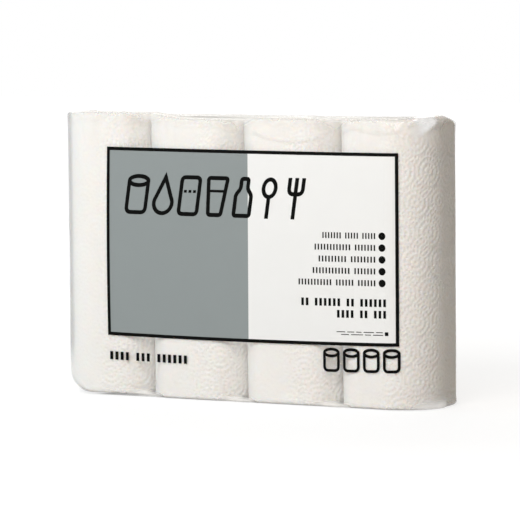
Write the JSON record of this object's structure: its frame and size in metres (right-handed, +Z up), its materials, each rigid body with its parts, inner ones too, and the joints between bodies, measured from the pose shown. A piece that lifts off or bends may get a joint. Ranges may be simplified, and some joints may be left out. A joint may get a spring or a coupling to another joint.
{
  "type": "kitchen roll pack",
  "caption": "Upright kitchen paper rolls on card cores, standing in a row and sealed in one tight wrap of clear film with folded ends and a back seam.",
  "frame": {"origin": "under the middle of the pack, on the surface it stands on", "axes": "+Z up along the rolls, +X along the row to the right as seen from the front, the printed front faces -Y"},
  "size_m": [0.3888, 0.099, 0.2615],
  "materials": {
    "film": "clear polyethylene film, glossy",
    "tissue": "soft white two-ply tissue, embossed",
    "core_board": "spiral-wound grey-brown card"
  },
  "bodies": {
    "root": {"film_wrap": "film", "towel_roll_1": "tissue", "towel_roll_2": "tissue", "towel_roll_3": "tissue", "towel_roll_4": "tissue", "core_tube_1": "core_board", "core_tube_2": "core_board", "core_tube_3": "core_board", "core_tube_4": "core_board"}
  },
  "joints": []
}
